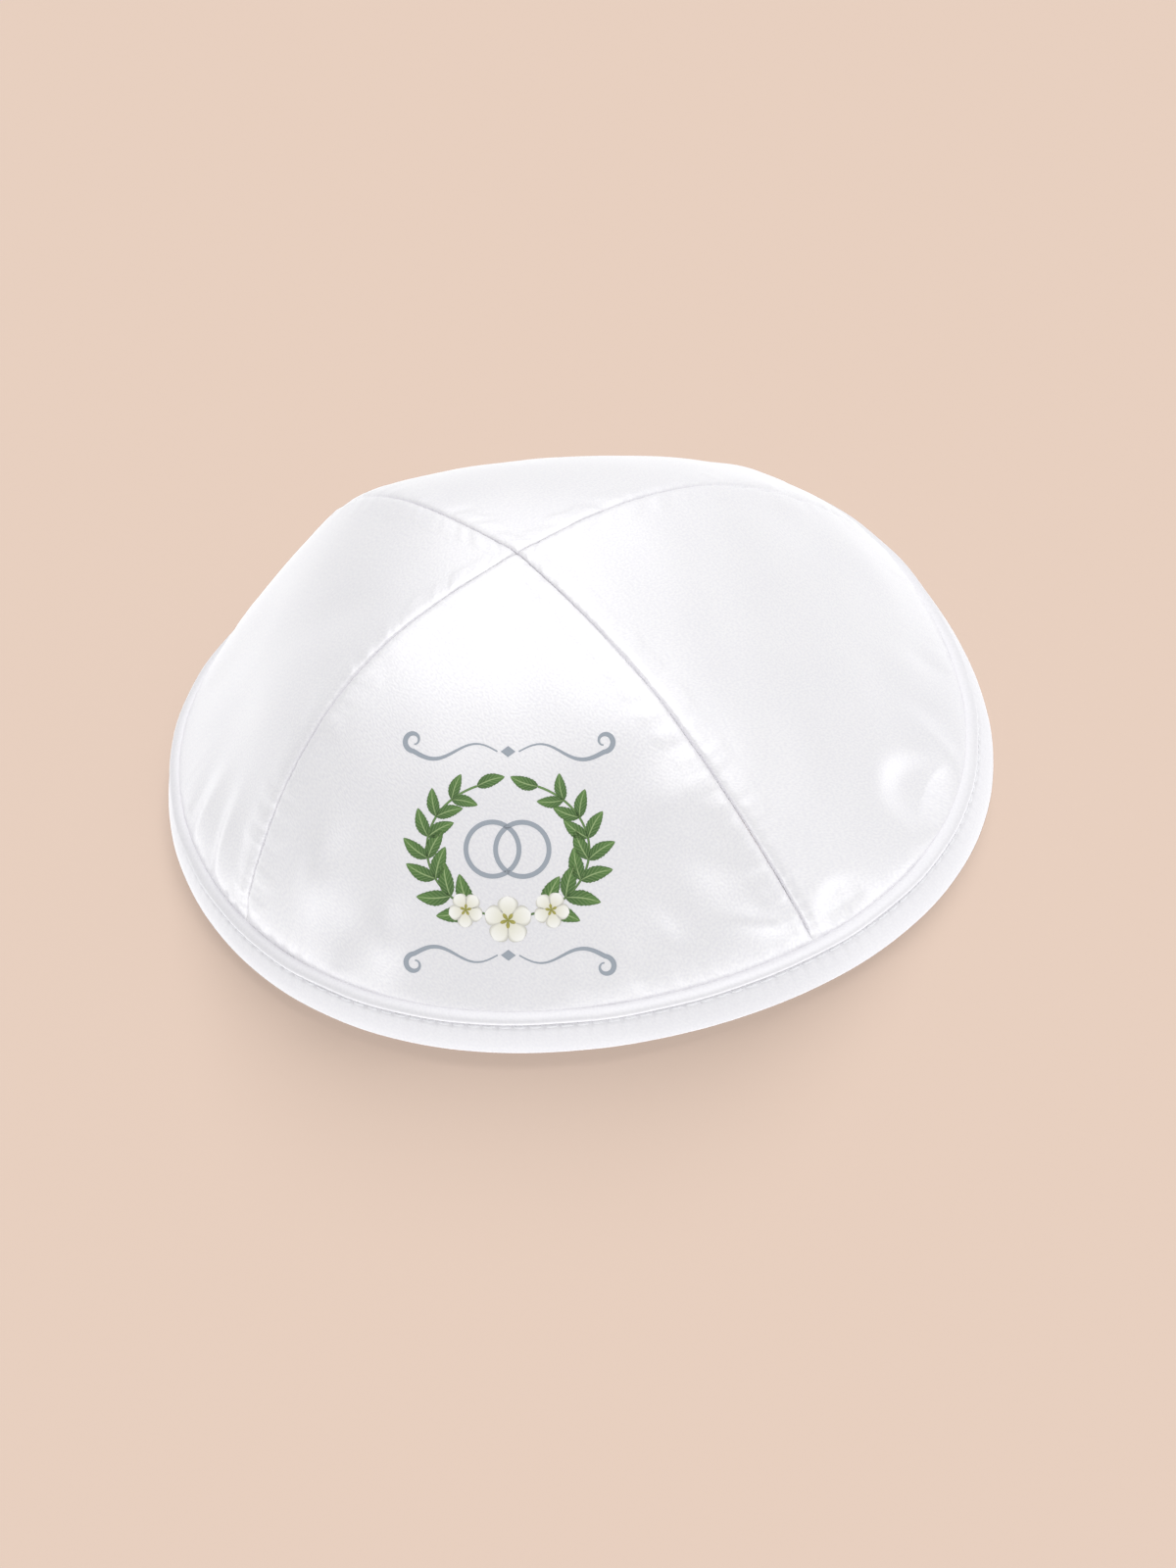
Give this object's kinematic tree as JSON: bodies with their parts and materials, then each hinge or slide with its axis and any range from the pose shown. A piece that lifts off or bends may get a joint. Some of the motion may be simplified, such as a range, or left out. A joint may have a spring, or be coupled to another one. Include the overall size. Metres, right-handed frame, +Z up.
{
  "type": "skullcap",
  "caption": "Satin kippah skullcap of sewn gore panels meeting at the crown, with a folded binding that has a rolled bead and a stitched flat band round the rim.",
  "frame": {"origin": "on the floor, under the middle of the rim's outline", "axes": "+Z up through the crown, -Y towards the front panel, +X to the right of the front panel as seen from the front"},
  "size_m": [0.1806, 0.1806, 0.0619],
  "materials": {
    "satin": "white polyester satin with a soft sheen and a fine crepe grain",
    "satin_binding": "white satin bias strip, folded over the edge and topstitched in white thread"
  },
  "bodies": {
    "root": {"panel_front": "satin", "panel_right": "satin", "panel_back": "satin", "panel_left": "satin", "rim_band": "satin_binding"}
  },
  "joints": []
}
